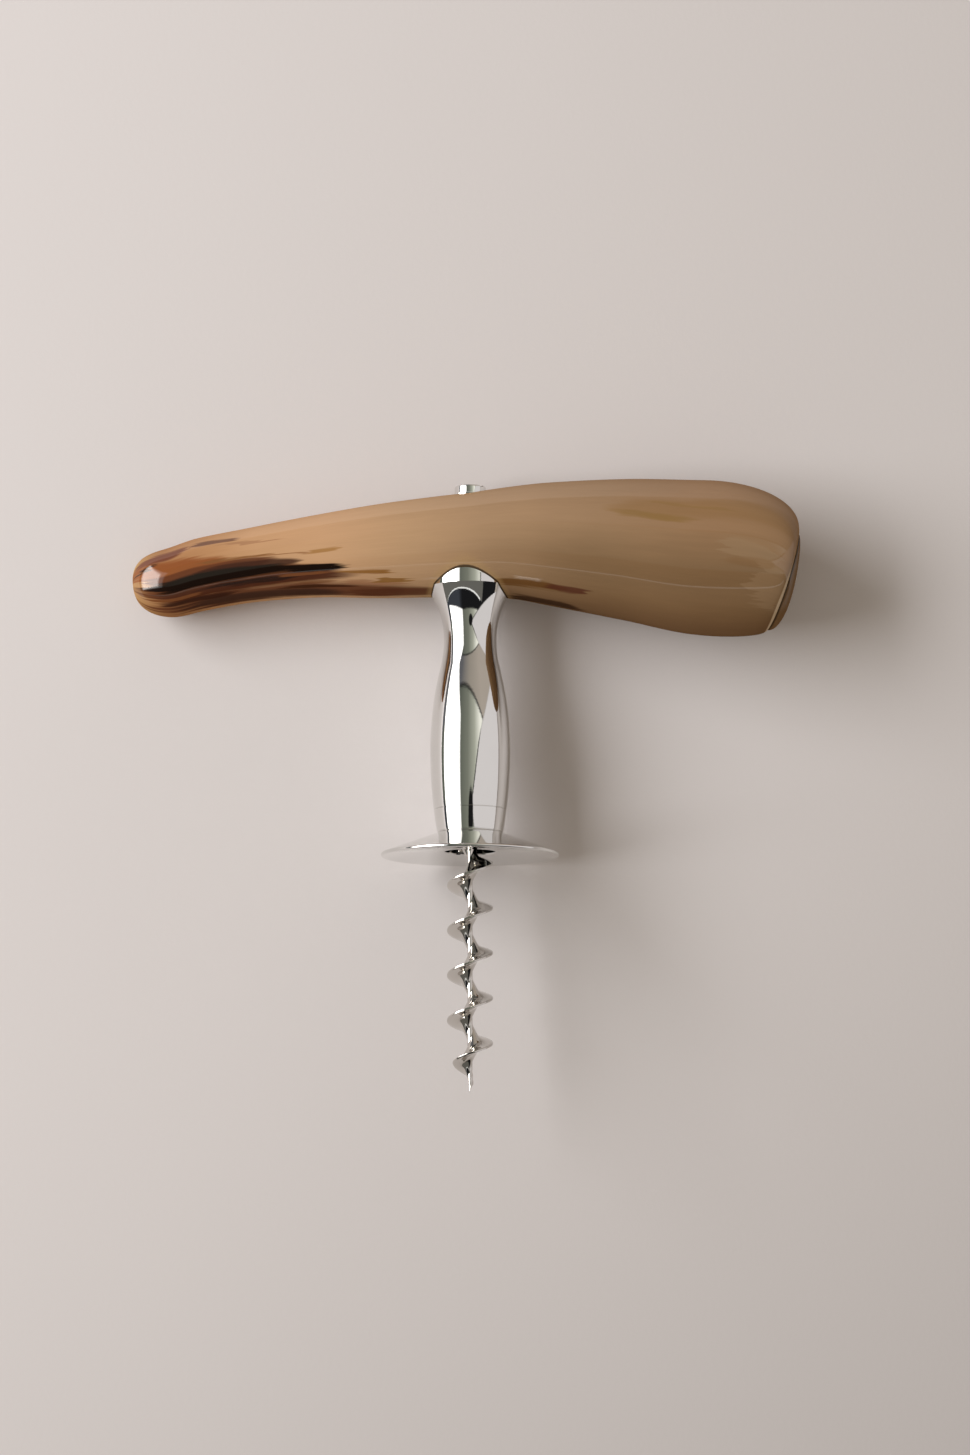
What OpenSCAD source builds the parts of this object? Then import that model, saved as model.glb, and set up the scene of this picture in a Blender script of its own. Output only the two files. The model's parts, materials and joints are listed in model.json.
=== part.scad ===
// Corkscrew with a T handle of horn, a turned steel stem, a guard disc and an auger worm.
// The tool is drawn upright round its shank: the guard disc's rim lies in the plane z = 0,
// the handle is above it and runs along x, and the worm points down.
// At the end each piece is laid down as the corkscrew rests on a table, on the rim of its
// guard disc, the belly of the horn's wide end and the horn's tip.

/* [Horn handle] */
// Reach of the horn from the shank to its rounded tip
tip_reach = 75.2; // [68:0.1:82]
// Reach of the horn from the shank to the middle of its cut end
base_reach = 68.6; // [62:0.1:76]
// Height of the horn at its tip, before the end is rounded
tip_height = 15.7; // [14:0.1:18]
// Height of the horn where the shank meets it
mid_height = 23.2; // [21.5:0.1:25]
// Height of the horn at its belly, near the wide end
belly_height = 34.1; // [31:0.1:37]
// Height of the cut face at the wide end
face_height = 24; // [21:0.1:26]
// Depth of the horn as a share of its height, at the tip
tip_roundness = 0.97; // [0.9:0.01:1]
// Depth of the horn as a share of its height, at the belly
belly_roundness = 0.93; // [0.9:0.01:1]
// Depth of the cut face as a share of its height
face_roundness = 1.06; // [1:0.01:1.12]
// How far the tip hangs below the horn's middle
tip_drop = 8; // [6:0.1:10]
// How far the cut face hangs below the horn's middle
face_drop = 8.1; // [6:0.1:10]
// Lean of the tip's sections
tip_lean = 5; // [2:1:10]
// Lean of the cut face, which looks down a little
face_lean = 11; // [8:1:16]
// Turn of the cut face towards the back
face_turn = 9; // [4:1:14]
// Length over which the tip is rounded
nose_length = 12.5; // [9:0.5:17]
// Wall of the hollow wide end
horn_wall = 3.6; // [2.8:0.1:4.4]
// Distance from the shank to the blind end of the hollow
hollow_start = 14; // [11:0.5:20]

/* [Horn end plate] */
// Rise of the domed face of the plate
plate_dome = 2.4; // [1.5:0.1:4]
// Length of the spigot that plugs the hollow
plate_spigot = 3.5; // [2.5:0.1:5]

/* [Guard disc] */
// Diameter of the disc
disc_d = 39; // [36:0.5:42]
// Thickness of its rounded rim
disc_rim = 0.8; // [0.6:0.1:1.2]
// Height of its cone above the rim plane
disc_h = 5.2; // [4.8:0.1:6]
// Bore that the worm passes through
disc_bore = 11.1; // [10.8:0.1:11.3]
// Depth of the dish in the underside
disc_dish = 1.1; // [0.7:0.1:1.5]
// Height of the threaded neck above the cone
neck_h = 2.5; // [2:0.1:3]
// Diameter of the thread on the neck and on the stem's spigot
neck_d = 12.6; // [12.3:0.1:12.9]

/* [Ferrule] */
// Height of the ferrule that screws on over both threads
ferrule_h = 5.1; // [4.6:0.1:6]

/* [Stem] */
// Diameter of the shank where it stands on the disc
foot_d = 14.4; // [14:0.1:15.2]
// Diameter of the stem's barrel
barrel_d = 17.6; // [16.6:0.1:19]
// Height of the widest place above the ferrule
barrel_rise = 13.2; // [11:0.1:15]
// Radius of the curve from the barrel up towards the waist
barrel_curve = 76; // [68:1:84]
// Diameter of the waist
waist_d = 11.6; // [11:0.1:12.2]
// Height of the waist above the widest place
waist_rise = 24.4; // [22.5:0.1:26]
// Radius of the curve from the waist up to the flare
flare_curve = 21.5; // [19:0.5:24]
// Height of the horn's underside above the waist
saddle_rise = 9.9; // [9:0.1:10.8]
// Height of the flare's crisp edge above the horn's underside
saddle_lip = 1.7; // [1.2:0.1:2.2]
// Width of the fine bevels along the seams
seam_bevel = 0.15; // [0.1:0.05:0.25]

/* [Worm] */
// Outer diameter of the worm
worm_d = 10; // [9:0.1:10.4]
// Pitch of its one thread
worm_pitch = 9.8; // [8.8:0.1:11]
// Reach of the worm below the rim plane of the disc
worm_reach = 51.2; // [46:0.1:56]
// Diameter of the slim core
core_d = 1.1; // [0.8:0.1:1.8]
// Thickness of the blade at its edge
blade_edge = 0.4; // [0.3:0.05:0.6]
// Length over which the blade dies out to the point
point_length = 8.5; // [7:0.1:12]
// Turn of the worm about its axis
worm_turn = 57; // [0:1:359]
// Diameter of the round root held in the stem
root_d = 6; // [5:0.1:7]
// Length of the root inside the stem
root_grip = 14.5; // [10:0.1:16]

/* [Top screw] */
// Diameter of the screw's thread
screw_d = 4; // [3.5:0.1:4.2]
// Length of the screw under its head
screw_length = 38; // [34:1:40]
// Diameter of the head
head_d = 7; // [6.4:0.1:7.6]
// Height of the head
head_h = 1.9; // [1.6:0.1:2.4]
// Rounding of the head's upper edge
head_round = 0.5; // [0.3:0.1:0.8]
// Width of the slot
slot_w = 1.2; // [1:0.1:1.4]
// Depth of the slot
slot_depth = 1.1; // [0.8:0.1:1.3]
// Turn of the slot away from the depth direction
slot_turn = 11; // [0:1:90]
// Outer diameter of the washer
washer_d = 8; // [7.6:0.1:9]
// Thickness of the washer
washer_t = 0.5; // [0.4:0.1:0.8]
// How deep the washer's flat seat is cut below the top of the horn
seat_sink = 0.9; // [0.6:0.05:1.2]

/* [Fits] */
// Radial gap in the screwed joints
thread_gap = 0.05; // [0.03:0.01:0.1]
// Gap between the horn and the saddle
saddle_gap = 0.05; // [0.03:0.01:0.1]
// Radial gap round the screw in the washer and in the horn
screw_gap = 0.2; // [0.1:0.05:0.3]
// Radial gap round the washer in its seat
washer_gap = 0.2; // [0.1:0.05:0.4]
// Gap round the plate's spigot
spigot_gap = 0.1; // [0.05:0.05:0.2]
// Free depth past the ends of the screw and the worm's root
end_gap = 0.8; // [0.5:0.1:1.5]

/* [Hidden] */
$fn = 96;
horn_colour = "#a07f59";
plate_colour = "#8c6c4a";
chrome_colour = "#d6d5d2";

// Heights along the shank
ferrule_top = disc_h + ferrule_h;
barrel_z = ferrule_top + barrel_rise;
waist_z = barrel_z + waist_rise;
saddle_z = waist_z + saddle_rise;
crease_z = saddle_z + saddle_lip;
horn_z = saddle_z + mid_height / 2;
seat_z = horn_z + mid_height / 2 - seat_sink;
neck_top = disc_h + neck_h;
head_z = seat_z + washer_t;

// Curves of the stem: the foot curve passes through the foot and the barrel's widest place,
// the waist curve touches the barrel curve, and the flare ends in a crisp edge
barrel_r = barrel_d / 2;
waist_r = waist_d / 2;
foot_drop = barrel_r - foot_d / 2;
foot_curve = ((barrel_z - disc_h) ^ 2 + foot_drop ^ 2) / (2 * foot_drop);
centre_step = waist_r + barrel_curve - barrel_r;
waist_curve = (centre_step ^ 2 + waist_rise ^ 2 - barrel_curve ^ 2) / (2 * (barrel_curve - centre_step));
blend_angle = atan2(waist_rise, centre_step + waist_curve);
crease_angle = asin((crease_z - waist_z) / flare_curve);
crease_r = waist_r + flare_curve * (1 - cos(crease_angle));
curve_steps = 12;

// How far cutters reach past what they cut, and how far joined forms reach into each other
overshoot = 1;
overlap = 0.1;

// Small plain helpers
function mix(a, b, t) = a + (b - a) * t;
function clamp01(t) = max(0, min(1, t));
function smooth(t) = let (s = clamp01(t)) s * s * (3 - 2 * s);
function unit(v) = v / norm(v);
function arc(centre, radius, from, to, first = 0, steps = curve_steps) =
    [for (i = [first:steps]) let (a = mix(from, to, i / steps)) centre + radius * [cos(a), sin(a)]];

// The horn's stations: place along x, rise of the middle, lean, height and depth. Towards the
// tip they are shares of the tip's values, towards the wide end of the belly's and the face's
function slim(t) = mix(mid_height, tip_height, t);
function slim_deep(t) = mix(mid_height, tip_height * tip_roundness, t);
function swell(t) = mix(mid_height, belly_height, t);
function swell_deep(t) = mix(mid_height, belly_height * belly_roundness, t);
function close(t) = mix(belly_height, face_height, t);
function close_deep(t) = mix(belly_height * belly_roundness, face_height * face_roundness, t);
horn_form = [
    [-tip_reach, -tip_drop, -tip_lean, slim(1), slim_deep(1)],
    [-0.89 * tip_reach, -0.94 * tip_drop, -1.2 * tip_lean, slim(1), slim_deep(1)],
    [-0.8 * tip_reach, -0.72 * tip_drop, -1.4 * tip_lean, slim(0.94), slim_deep(0.94)],
    [-0.66 * tip_reach, -0.49 * tip_drop, -1.3 * tip_lean, slim(0.9), slim_deep(0.9)],
    [-0.47 * tip_reach, -0.27 * tip_drop, -tip_lean, slim(0.68), slim_deep(0.68)],
    [-0.27 * tip_reach, -0.14 * tip_drop, -0.6 * tip_lean, slim(0.32), slim_deep(0.32)],
    [-0.13 * tip_reach, -0.06 * tip_drop, -0.3 * tip_lean, slim(0.15), slim_deep(0.15)],
    [0, 0, 0, mid_height, mid_height],
    [0.14 * base_reach, 0.04 * face_drop, 0.05 * face_lean, swell(0.16), swell_deep(0.16)],
    [0.25 * base_reach, -0.01 * face_drop, 0.1 * face_lean, swell(0.36), swell_deep(0.38)],
    [0.5 * base_reach, -0.2 * face_drop, 0.25 * face_lean, swell(0.73), swell_deep(0.77)],
    [0.74 * base_reach, -0.45 * face_drop, 0.38 * face_lean, close(0), close_deep(0)],
    [0.83 * base_reach, -0.54 * face_drop, 0.44 * face_lean, close(0.05), close_deep(0.05)],
    [0.945 * base_reach, -0.7 * face_drop, 0.6 * face_lean, close(0.34), close_deep(0.26)],
    [0.985 * base_reach, -0.78 * face_drop, 0.8 * face_lean, close(0.57), close_deep(0.5)],
    [base_reach, -0.93 * face_drop, face_lean, close(0.95), close_deep(1)]
];
horn_sides = 44;
horn_step = 4;
nose_power = 2.65;
turn_start = 0.5 * base_reach;
hollow_bend = 0.55 * base_reach;

// A smooth curve through the stations, read at any place x
function slope_at(k) =
    let (last = len(horn_form) - 1, a = horn_form[max(k - 1, 0)], b = horn_form[min(k + 1, last)])
    (b - a) / (b[0] - a[0]);
function station_before(x, k = 0) =
    k >= len(horn_form) - 2 || x < horn_form[k + 1][0] ? k : station_before(x, k + 1);
function horn_at(x) =
    let (
        k = station_before(x),
        a = horn_form[k],
        b = horn_form[k + 1],
        w = b[0] - a[0],
        t = (x - a[0]) / w
    )
    a * (1 + t * t * (2 * t - 3)) + b * t * t * (3 - 2 * t)
        + slope_at(k) * w * t * (1 - t) ^ 2 - slope_at(k + 1) * w * t * t * (1 - t);
function nose(x) =
    let (s = clamp01((x + tip_reach) / nose_length)) (1 - (1 - s) ^ nose_power) ^ (1 / nose_power);

// The two directions that span a section: up along its lean, and back along its turn
function section_up(x) = let (lean = horn_at(x)[2]) [sin(lean), 0, cos(lean)];
function section_back(x) =
    let (turn = face_turn * smooth((x - turn_start) / (base_reach - turn_start))) [-sin(turn), cos(turn), 0];
function section_middle(x) = [x, 0, horn_z + horn_at(x)[1]];

// One ring of the horn, inset from its skin by a wall and scaled about its middle
function horn_ring(x, inset = 0, scaled = 1, out = [0, 0, 0]) =
    let (
        form = horn_at(x),
        high = (form[3] / 2 * nose(x) - inset) * scaled,
        deep = (form[4] / 2 * nose(x) - inset) * scaled
    )
    [for (i = [0:horn_sides - 1])
        let (a = 360 * i / horn_sides)
            section_middle(x) + out + section_back(x) * deep * cos(a) + section_up(x) * high * sin(a)];

nose_rings = [for (a = [8:11:90]) -tip_reach + nose_length * (1 - cos(a))];
body_start = -tip_reach + nose_length;
shoulder_x = 0.83 * base_reach;
saddle_span = crease_r + 3 * horn_step;
body_count = round((shoulder_x - body_start) / horn_step);
body_rings = [for (i = [0:body_count]) mix(body_start, shoulder_x, i / body_count)];
shoulder_rings = [for (t = [0.28, 0.5, 0.68, 0.8, 0.9, 0.96, 1]) mix(shoulder_x, base_reach, t)];
horn_rings = concat(nose_rings, body_rings, shoulder_rings);
hollow_rings = concat([base_reach], [for (i = [5:-1:1]) mix(hollow_bend, base_reach, i / 6)],
                      [for (i = [4:-1:0]) mix(hollow_start + 4, hollow_bend, i / 4)]);

// A closed skin over a row of rings, with a point at each end
module skin(start, rings, end) {
    sides = len(rings[0]);
    last = len(rings) - 1;
    points = concat([start], [for (ring = rings) each ring], [end]);
    faces = concat(
        [for (j = [0:sides - 1]) [0, 1 + j, 1 + (j + 1) % sides]],
        [for (i = [0:last - 1], j = [0:sides - 1])
            let (a = 1 + i * sides, b = a + sides, k = (j + 1) % sides)
                each [[a + j, b + j, a + k], [b + j, b + k, a + k]]],
        [for (j = [0:sides - 1])
            let (a = 1 + last * sides) [len(points) - 1, a + (j + 1) % sides, a + j]]
    );
    polyhedron(points = points, faces = faces, convexity = 6);
}

// One ring of the end plate's dome, from the cut face (t = 0) to its crown (t = 1)
face_normal = unit(cross(section_back(base_reach), section_up(base_reach)));
dome_power = 2.4;
function plate_ring(t) =
    horn_ring(base_reach, 0, (1 - t ^ dome_power) ^ (1 / dome_power), face_normal * plate_dome * t);

// How the corkscrew comes to rest: the plane that touches the disc's rim, the horn's wide
// half and its tip half is found by turning the plane onto their lowest points in turn
horn_points = [for (x = horn_rings) each horn_ring(x)];
wide_half = [for (p = horn_points) if (p.x > 0) p];
tip_half = [for (p = horn_points) if (p.x < 0) p];
function farthest(points, way) =
    let (reach = [for (p = points) p * way]) points[search(max(reach), reach)[0]];
function rim_point(way) =
    (disc_d - disc_rim) / 2 * unit([way.x, way.y, 0]) + disc_rim / 2 * (unit(way) + [0, 0, 1]);
function settle(down, turns) =
    turns == 0 ? down :
    let (
        rim = rim_point(down),
        wide = farthest(wide_half, down),
        tip = farthest(tip_half, down),
        across = unit(cross(wide - rim, tip - rim))
    )
    settle(across.y > 0 ? across : -across, turns - 1);
down = settle([0, 1, 0], 12);
lie_z = -down;
lie_x = unit([1, 0, 0] - down * down.x);
lie_y = cross(lie_z, lie_x);
dome_points = [for (t = [0:0.1:1]) each plate_ring(t)];
worm_point = [0, 0, -worm_reach];
lie_shift = [
    (farthest(dome_points, lie_x) * lie_x + farthest(horn_points, -lie_x) * lie_x) / 2,
    (farthest(horn_points, lie_y) * lie_y + worm_point * lie_y) / 2,
    -rim_point(down) * down
];
module lay_down() {
    multmatrix([
        [lie_x.x, lie_x.y, lie_x.z, -lie_shift.x],
        [lie_y.x, lie_y.y, lie_y.z, -lie_shift.y],
        [lie_z.x, lie_z.y, lie_z.z, -lie_shift.z],
        [0, 0, 0, 1]
    ])
        children();
}

// The horn: a lofted skin with a hollow wide end, drilled across for the screw
module horn_handle() {
    outside = [for (x = horn_rings) horn_ring(x)];
    inside = [for (x = hollow_rings) horn_ring(x, horn_wall)];
    color(horn_colour)
        lay_down()
            difference() {
                skin(
                    section_middle(-tip_reach),
                    concat(outside, inside, [horn_ring(hollow_start + 1, horn_wall, 0.7)]),
                    section_middle(hollow_start)
                );
                translate([0, 0, saddle_z - overshoot])
                    cylinder(h = mid_height + 2 * overshoot, d = screw_d + 2 * screw_gap);
                translate([0, 0, seat_z])
                    cylinder(h = seat_sink + overshoot, d = washer_d + 2 * washer_gap);
            }
}

// The plate: a domed cap over the cut face, with a spigot that plugs the hollow
module horn_end_plate() {
    spigot = horn_wall + spigot_gap;
    spigot_taper = 0.96;
    color(plate_colour)
        lay_down()
            skin(
                section_middle(base_reach) - face_normal * plate_spigot,
                concat(
                    [horn_ring(base_reach, spigot, spigot_taper, -face_normal * plate_spigot)],
                    [horn_ring(base_reach, spigot)],
                    [for (t = [0, 0.2, 0.4, 0.6, 0.78, 0.9, 0.97]) plate_ring(t)]
                ),
                section_middle(base_reach) + face_normal * plate_dome
            );
}

// The screw: a slotted round head on a plain shank that stands for the thread
module top_screw() {
    color(chrome_colour)
        lay_down()
            difference() {
                union() {
                    translate([0, 0, head_z])
                        rotate_extrude()
                            head_outline();
                    translate([0, 0, head_z - screw_length])
                        cylinder(h = screw_length + overlap, d = screw_d - 2 * thread_gap);
                }
                rotate([0, 0, -slot_turn])
                    translate([-slot_w / 2, -head_d, head_z + head_h - slot_depth])
                        cube([slot_w, 2 * head_d, slot_depth + overshoot]);
            }
}
module head_outline() {
    square([head_d / 2, head_h - head_round]);
    square([head_d / 2 - head_round, head_h]);
    translate([head_d / 2 - head_round, head_h - head_round])
        circle(head_round);
}

// The washer under the screw's head
module top_washer() {
    color(chrome_colour)
        lay_down()
            translate([0, 0, seat_z])
                difference() {
                    cylinder(h = washer_t, d = washer_d);
                    translate([0, 0, -overshoot])
                        cylinder(h = washer_t + 2 * overshoot, d = screw_d + 2 * screw_gap);
                }
}

// The stem: turned from one bar, cut to the horn at its top, bored for screw and worm
foot_centre = [barrel_r - foot_curve, barrel_z];
function foot_angle(z) = asin((z - barrel_z) / foot_curve);
shoulder_r = foot_centre.x + foot_curve * cos(foot_angle(ferrule_top));
module stem() {
    color(chrome_colour)
        lay_down()
            difference() {
                rotate_extrude()
                    stem_outline();
                skin(
                    section_middle(-saddle_span - horn_step),
                    [for (x = horn_rings) if (abs(x) < saddle_span) horn_ring(x, -saddle_gap)],
                    section_middle(saddle_span + horn_step)
                );
                translate([0, 0, head_z - screw_length - end_gap])
                    cylinder(h = screw_length, d = screw_d);
                cylinder(h = neck_top + root_grip + end_gap, d = root_d + 2 * thread_gap);
            }
}
module stem_outline() {
    spigot_r = neck_d / 2 - thread_gap;
    polygon(concat(
        [[0, neck_top], [spigot_r, neck_top], [spigot_r, ferrule_top]],
        [[shoulder_r - seam_bevel, ferrule_top]],
        arc(foot_centre, foot_curve, foot_angle(ferrule_top + seam_bevel), 0),
        arc([barrel_r - barrel_curve, barrel_z], barrel_curve, 0, blend_angle, 1),
        arc([waist_r + waist_curve, waist_z], waist_curve, 180 + blend_angle, 180, 1, 6),
        arc([waist_r + flare_curve, waist_z], flare_curve, 180, 180 - crease_angle, 1),
        [[crease_r, horn_z], [0, horn_z]]
    ));
}

// The ferrule: a short sleeve that carries on the stem's outline and joins stem and disc
module ferrule() {
    color(chrome_colour)
        lay_down()
            difference() {
                rotate_extrude()
                    polygon(concat(
                        [[0, disc_h], [foot_d / 2 - seam_bevel, disc_h]],
                        arc(foot_centre, foot_curve, foot_angle(disc_h + seam_bevel),
                            foot_angle(ferrule_top - seam_bevel), 0, 5),
                        [[shoulder_r - seam_bevel, ferrule_top], [0, ferrule_top]]
                    ));
                translate([0, 0, disc_h - overshoot])
                    cylinder(h = ferrule_h + 2 * overshoot, d = neck_d);
            }
}

// The guard disc: a low cone with a rounded rim, a dished underside and a threaded neck
module guard_disc() {
    rim_r = disc_rim / 2;
    rim_x = disc_d / 2 - rim_r;
    dish_r = ((disc_d / 2 - disc_rim) ^ 2 + disc_dish ^ 2) / (2 * disc_dish);
    slope = atan2(disc_h - disc_rim, (disc_d - foot_d) / 2);
    color(chrome_colour)
        lay_down()
            rotate_extrude()
                difference() {
                    union() {
                        polygon([
                            [0, 0], [rim_x, 0], [rim_x, rim_r] + rim_r * [sin(slope), cos(slope)],
                            [foot_d / 2, disc_h], [neck_d / 2 - thread_gap, disc_h],
                            [neck_d / 2 - thread_gap, neck_top], [0, neck_top]
                        ]);
                        translate([rim_x, rim_r])
                            circle(rim_r);
                    }
                    translate([0, disc_dish - dish_r])
                        circle(dish_r, $fn = 256);
                    translate([0, -overshoot])
                        square([disc_bore / 2, neck_top + 2 * overshoot]);
                }
}

// The worm: one round-rooted blade wound about a slim core, swept ring by ring. The blade's
// flanks spread into the core, so each section is a comma that turns as it rises
core_r = core_d / 2;
blade_half = 180 * blade_edge / worm_pitch;
root_spread = 33;
root_power = 0.63;
worm_fan = concat([blade_half, 10, 14, 21, 32, 50, 78, 118, 180], [242, 282, 310, 328, 339, 346, 350],
                  [360 - blade_half]);
root_share = 0.86;
root_start = -2.4;
root_blend = 5;
rings_per_turn = 20;
function off_blade(a) = max(0, min(a, 360 - a) - blade_half);
function blade_share(a) = exp(-(off_blade(a) / root_spread) ^ root_power);
function worm_radius(a, z) =
    let (
        out = smooth((z + worm_reach) / point_length),
        core = core_r * mix(0.25, 1, smooth(1.5 * (z + worm_reach) / point_length)),
        blade = mix(core, max(core, worm_d / 2 * out), blade_share(a))
    )
    mix(blade, root_share * root_d / 2, smooth((z - root_start) / root_blend));
function worm_ring(z) =
    [for (a = worm_fan)
        let (turn = a + worm_turn + 360 * z / worm_pitch, r = worm_radius(a, z))
            [r * cos(turn), r * sin(turn), z]];
module worm() {
    length = worm_reach + root_start + root_blend;
    count = ceil(length / worm_pitch * rings_per_turn);
    root_z = root_start + 0.95 * root_blend;
    color(chrome_colour)
        lay_down()
            union() {
                skin(
                    worm_point,
                    [for (i = [1:count]) worm_ring(mix(-worm_reach, root_start + root_blend, i / count))],
                    [0, 0, root_start + root_blend]
                );
                translate([0, 0, root_z])
                    cylinder(h = neck_top + root_grip - root_z, d = root_d);
            }
}

horn_handle();
horn_end_plate();
top_screw();
top_washer();
stem();
ferrule();
guard_disc();
worm();
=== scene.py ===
# %% [markdown]
# # A corkscrew with a horn handle
# This lesson dresses a packed corkscrew so that it looks like the real one. A polished horn tip
# is the handle, a turned and chromed stem holds it, a guard disc sits on the bottle, and an
# auger worm goes into the cork. The imported model is the fixed frame: every piece below is made
# straight into its place, in metres, and nothing is fitted by eye afterwards.

# %% [markdown]
# ## The imported model
# Their box is kept in the scene.

# %% Load the imported model
import bpy, bmesh, json, math
import numpy as np
from mathutils import Matrix, Vector


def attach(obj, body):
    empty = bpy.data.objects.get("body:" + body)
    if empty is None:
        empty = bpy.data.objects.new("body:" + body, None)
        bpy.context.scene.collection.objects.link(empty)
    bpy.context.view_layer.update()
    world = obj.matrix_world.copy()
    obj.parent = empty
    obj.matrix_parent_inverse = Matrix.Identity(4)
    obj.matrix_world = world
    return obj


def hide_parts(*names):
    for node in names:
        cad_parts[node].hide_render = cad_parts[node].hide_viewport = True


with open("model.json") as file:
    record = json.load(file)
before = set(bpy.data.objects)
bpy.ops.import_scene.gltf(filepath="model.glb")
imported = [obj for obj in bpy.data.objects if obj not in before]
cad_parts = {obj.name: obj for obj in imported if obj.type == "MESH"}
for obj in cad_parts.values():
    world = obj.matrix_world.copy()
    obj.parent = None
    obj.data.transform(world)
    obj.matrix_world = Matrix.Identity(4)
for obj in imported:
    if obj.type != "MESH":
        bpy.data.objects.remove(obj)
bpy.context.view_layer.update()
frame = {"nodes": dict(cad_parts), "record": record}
print("packed nodes:", sorted(frame["nodes"]))

# %% [markdown]
# ## The corkscrew's own axes
# The corkscrew lies on a table, so its shank leans a little. Drawing on leaning axes is hard,
# so the pieces are drawn upright, in millimetres: z runs up the shank from the rim of the guard
# disc, x runs along the handle, and the side that looks up from the table is at negative y. The
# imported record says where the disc's seat is and which way the shank and the handle point, and
# that is all that is needed to lay each drawn point down in its place.

# %% Lay a drawing down
mounts = {m["name"]: m for m in frame["record"]["mounts"]}
seat = np.array(mounts["bottle_seat"]["pos_m"])
up_shank = -np.array(mounts["bottle_seat"]["axis"])
along_handle = np.array(mounts["hand_grip"]["axis"])
behind = np.cross(up_shank, along_handle)
horn_z = float((np.array(mounts["hand_grip"]["pos_m"]) - seat) @ up_shank) * 1000


def lay_down(points):
    """Turns drawn points (x, y, z in mm) into places on the table, in metres."""
    p = np.asarray(points, float) / 1000
    return seat + p[..., :1] * along_handle + p[..., 1:2] * behind + p[..., 2:3] * up_shank


print("the horn's middle is", round(horn_z, 2), "mm above the rim of the disc")

# %% [markdown]
# ## A skin over rows of points
# Every solid here is a skin over rows of points: the rings of the horn, or an outline that is
# turned round the shank. One helper joins the rows with quads, merges the points that meet at
# a pole or along a seam, makes all faces look outwards, and marks the edges that are crisp.
# A skin can also carry values for its material, such as how far a point is from a seam. Such
# values follow the form, which no plain texture coordinate does.

# %% A helper for skins
merge_dist, sliver_dist = 2e-6, 1e-7


def skin(name, rows, loop=False, caps=False, crisp=40, notes=None, marks=None):
    """rows is an array (rows, points round, 3) in drawn mm. loop joins the last row to the first.

    notes holds one vector for each point, and marks holds named numbers for each point.
    """
    rows = np.asarray(rows, float)
    high, wide = rows.shape[:2]
    mesh = bpy.data.meshes.new(name)
    last = high if loop else high - 1
    faces = [(i * wide + j, i * wide + (j + 1) % wide, (i + 1) % high * wide + (j + 1) % wide,
              (i + 1) % high * wide + j) for i in range(last) for j in range(wide)]
    if caps:
        faces += [tuple(range(wide)), tuple(range((high - 1) * wide, high * wide))]
    mesh.from_pydata(lay_down(rows).reshape(-1, 3).tolist(), [], faces)
    if notes is not None:
        mesh.attributes.new("grain", "FLOAT_VECTOR", "POINT").data.foreach_set(
            "vector", np.asarray(notes, float).ravel())
    for mark, values in (marks or {}).items():
        mesh.attributes.new(mark, "FLOAT", "POINT").data.foreach_set(
            "value", np.asarray(values, float).ravel())
    return finish_mesh(name, mesh, crisp)


def finish_mesh(name, mesh, crisp):
    """Closes seams and poles, turns the faces outwards and marks crisp edges."""
    work = bmesh.new()
    work.from_mesh(mesh)
    bmesh.ops.remove_doubles(work, verts=work.verts, dist=merge_dist)
    bmesh.ops.dissolve_degenerate(work, edges=work.edges, dist=sliver_dist)
    loose = [e for e in work.edges if not e.link_faces]
    bmesh.ops.delete(work, geom=loose, context="EDGES")
    bmesh.ops.recalc_face_normals(work, faces=work.faces)
    if work.calc_volume(signed=True) < 0:
        bmesh.ops.reverse_faces(work, faces=work.faces)
    open_edges = sum(not e.is_manifold for e in work.edges)
    work.to_mesh(mesh)
    work.free()
    mesh.polygons.foreach_set("use_smooth", [True] * len(mesh.polygons))
    mesh.set_sharp_from_angle(angle=math.radians(crisp))
    piece = bpy.data.objects.new(name, mesh)
    bpy.context.scene.collection.objects.link(piece)
    print(name, len(mesh.polygons), "faces,", open_edges, "open edges")
    return piece


# %% [markdown]
# ## Turned pieces
# The metal parts of the real corkscrew come from a lathe, so each is an outline of radius and
# height, turned round the shank. Chrome shows every flat, so the outlines use true arcs with
# many short steps and 192 places round. Small bevels catch the light along the seams.

# %% A lathe for outlines
def arc(centre_r, centre_z, radius, start, end, steps=40, first=0):
    """Points (radius, height) on an arc, its angles in degrees from the outward direction."""
    turn = np.radians(np.linspace(start, end, steps + 1))[first:]
    return [(centre_r + radius * math.cos(t), centre_z + radius * math.sin(t)) for t in turn]


def turned(name, outline, places=192, crisp=40):
    """Turns a closed outline of (radius, height) points round the shank."""
    turn = np.linspace(0, 2 * math.pi, places, endpoint=False)
    rows = [[(r * math.cos(t), r * math.sin(t), z) for t in turn] for r, z in outline]
    return skin(name, rows, loop=True, crisp=crisp)


# %% [markdown]
# ## The guard disc
# The disc is a low cone that rests on the bottle's mouth. Its rim is rounded, its underside is
# a shallow dish, and the worm passes through a bore. Above the cone is the neck that the
# ferrule screws onto, hidden once the tool is together.

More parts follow.
